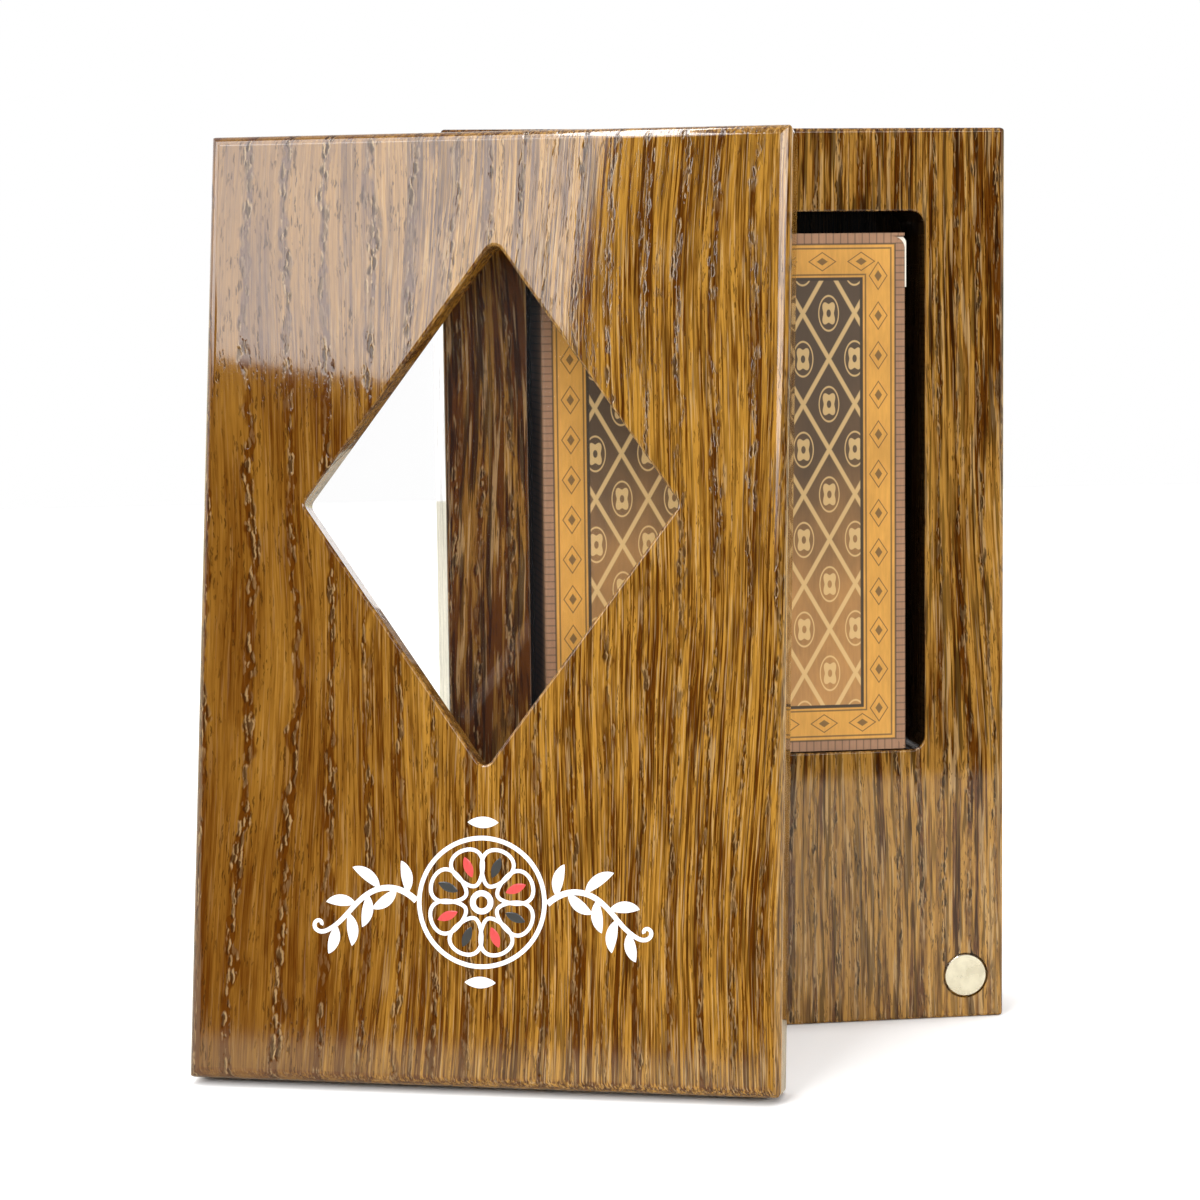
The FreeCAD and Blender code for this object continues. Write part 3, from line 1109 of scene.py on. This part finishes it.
class CARDBOX_OT_stage(bpy.types.Operator):
    """Adds the floor, the surroundings, the lamps and the camera"""

    bl_idname = "cardbox.stage"
    bl_label = "Set the stage"

    def execute(self, context):
        self.floor()
        self.surroundings(context.scene)
        self.lamps()
        self.camera(context.scene)
        context.scene.view_settings.view_transform = "Standard"
        return {"FINISHED"}

    def floor(self):
        """Flat sheet under the box: z = 0 over a grid."""
        count = FLOOR_POINTS
        x, y = np.meshgrid(
            np.linspace(-FLOOR_SIDE, FLOOR_SIDE, count),
            np.linspace(FLOOR_FADE[0], FLOOR_BACK, count),
        )
        points = np.stack([x, y, np.zeros_like(x)], axis=2).reshape(-1, 3)
        step = np.arange(count - 1)
        at = (step[:, None] * count + step[None, :]).reshape(-1)
        faces = np.stack([at, at + 1, at + count + 1, at + count], axis=1)
        mesh = bpy.data.meshes.new("floor")
        mesh.from_pydata(points.tolist(), [], faces.tolist())
        floor = bpy.data.objects.new("floor", mesh)
        bpy.context.scene.collection.objects.link(floor)
        mesh.materials.append(self.floor_paper())

    def floor_paper(self):
        """Pale paper that looks white, is a little warmer in mirrors and begins softly in front."""
        new, tree = material("floor_paper")
        _, y, _ = axes(tree, add(tree, "TexCoord").outputs["Object"])
        path = add(tree, "LightPath")
        to_camera = Field(tree, path.outputs["Is Camera Ray"])
        mirrored = Field(tree, path.outputs["Is Glossy Ray"])
        through = Field(tree, path.outputs["Is Transmission Ray"])
        whole = y.step(*FLOOR_FADE).most(to_camera)
        plain = linear(settings().stage.floor)
        paper = blend(tree, mirrored, plain, linear(FLOOR_MIRRORED))
        seen = to_camera.most(mirrored).most(through)
        open_sky = add(tree, "AmbientOcclusion", {"Distance": CONTACT_SHADE}, samples=6)
        open_sky = Field(tree, open_sky.outputs["AO"]).step(0.3, 0.8)
        finish(
            tree,
            {
                "Base Color": blend(tree, whole, BLACK, paper),
                "Roughness": 0.7,
                "Specular IOR Level": 0.2,
                "Emission Color": paper,
                "Emission Strength": seen * open_sky * whole * FLOOR_GLOW,
            },
        )
        return new

    def surroundings(self, scene):
        """White behind the box and where it is looked through, and dim in front.

        The front has a low warm horizon on both sides and a bright band.  Mirrors alone show a
        bright panel high in front and one on the left.
        """
        world = bpy.data.worlds.new("surroundings")
        scene.world = world
        world.use_nodes = True
        tree = world.node_tree
        tree.nodes.clear()
        x, y, z = axes(tree, add(tree, "TexCoord").outputs["Generated"])
        path = add(tree, "LightPath")
        mirrored = Field(tree, path.outputs["Is Glossy Ray"])
        through = Field(tree, path.outputs["Is Transmission Ray"])
        seen = Field(tree, path.outputs["Is Camera Ray"]).most(through)

        def along(way):
            """Distance along a level direction."""
            return x * way[0] + y * way[1]

        sides = x.fall(*HORIZON_LEFT).most(x.step(*HORIZON_RIGHT))
        horizon = z.between(*HORIZON_HEIGHT) * sides
        band = z.between(*BAND_HEIGHT)
        band = band * along(BAND_START).step(0.0, 0.05) * along(BAND_END).fall(-0.1, 0.0)
        upper = z.step(*UPPER_PANEL_HEIGHT) * y.fall(-0.05, 0.0)
        upper = upper * along(LID_ACROSS).fall(-0.16, -0.13)
        beside = x.fall(-0.9, -0.86) * (z + y * 0.12).step(*SIDE_PANEL_HEIGHT) * y.fall(0.2, 0.3)
        panels = upper.most(beside) * mirrored
        back = z.fall(*BACK_MIRRORED_TOP) * mirrored * BACK_MIRRORED + BACK_LEVEL
        level = (y.step(*BACK_START) * back).most(horizon * HORIZON_LEVEL)
        level = level.most(panels * PANEL_LEVEL).most(z.step(*ABOVE_START) * ABOVE_LEVEL)
        level = level.most(band * settings().stage.band) + ROOM_LEVEL
        level = level + seen * (level * -1.0 + 1.0)
        tint = blend(tree, horizon * (seen * -1.0 + 1.0), WHITE, HORIZON_TINT)
        light = add(tree, "Background", {"Color": tint, "Strength": level})
        output = add(tree, "OutputWorld")
        tree.links.new(light.outputs[0], output.inputs[0])

    def lamps(self):
        """A broad window light on the left, and a long narrow lamp overhead."""
        stage = settings().stage
        panel_light(
            "window_light",
            stage.window_light,
            azimuth=-47.2,
            elevation=30.0,
            width=34.6,
            height=25.0,
            tint=(0.97, 1.0, 1.0),
        )
        panel_light(
            "ceiling_lamp",
            stage.ceiling_light,
            azimuth=-49.5,
            elevation=72.5,
            width=2.9,
            height=66.0,
            side=LID_PLACE[0] @ Vector((1.0, 0.0, 0.0)),
        )

    def camera(self, scene):
        """Camera at its place, turned by its azimuth, elevation and roll."""
        azimuth, elevation, roll = (math.radians(angle) for angle in CAMERA_ANGLES)
        level = math.cos(elevation)
        ahead = Vector(
            (-math.sin(azimuth) * level, math.cos(azimuth) * level, -math.sin(elevation))
        )
        level_right = Vector((math.cos(azimuth), math.sin(azimuth), 0.0))
        level_up = level_right.cross(ahead)
        right = level_right * math.cos(roll) + level_up * math.sin(roll)
        up = level_up * math.cos(roll) - level_right * math.sin(roll)
        view = Matrix((right, up, -ahead)).transposed().to_4x4()
        view.translation = CAMERA_PLACE
        lens = bpy.data.cameras.new("camera")
        lens.sensor_width = SENSOR_WIDTH
        lens.lens = CAMERA_LENS
        lens.clip_start = 0.01
        camera = bpy.data.objects.new("camera", lens)
        camera.matrix_world = view
        scene.collection.objects.link(camera)
        scene.camera = camera


# ---- panel and registration ----------------------------------------------------------------


OPERATORS = (
    CARDBOX_OT_boards,
    CARDBOX_OT_magnets,
    CARDBOX_OT_pane,
    CARDBOX_OT_card_case,
    CARDBOX_OT_cards,
    CARDBOX_OT_ornament,
    CARDBOX_OT_stage,
)


class CARDBOX_PT_panel(bpy.types.Panel):
    """Lists the pieces, the stage and the values that they use"""

    bl_idname = "CARDBOX_PT_panel"
    bl_label = "Card Box"
    bl_space_type = "VIEW_3D"
    bl_region_type = "UI"
    bl_category = "Card Box"

    def draw(self, context):
        layout = self.layout
        for operator in OPERATORS:
            layout.operator(operator.bl_idname)
        for group in (settings().wood, settings().printed, settings().ornament, settings().stage):
            box = layout.box()
            for name in group.__annotations__:
                box.prop(group, name)


CLASSES = (
    CARDBOX_PG_wood,
    CARDBOX_PG_print,
    CARDBOX_PG_ornament,
    CARDBOX_PG_stage,
    CARDBOX_PG_settings,
    *OPERATORS,
    CARDBOX_PT_panel,
)


def register():
    for each in CLASSES:
        bpy.utils.register_class(each)
    bpy.types.Scene.card_box = PointerProperty(type=CARDBOX_PG_settings)


def unregister():
    del bpy.types.Scene.card_box
    for each in reversed(CLASSES):
        bpy.utils.unregister_class(each)


def main():
    register()
    bpy.ops.cardbox.boards()
    bpy.ops.cardbox.magnets()
    bpy.ops.cardbox.pane()
    bpy.ops.cardbox.card_case()
    bpy.ops.cardbox.cards()
    bpy.ops.cardbox.ornament()
    bpy.ops.cardbox.stage()


if __name__ == "__main__":
    main()
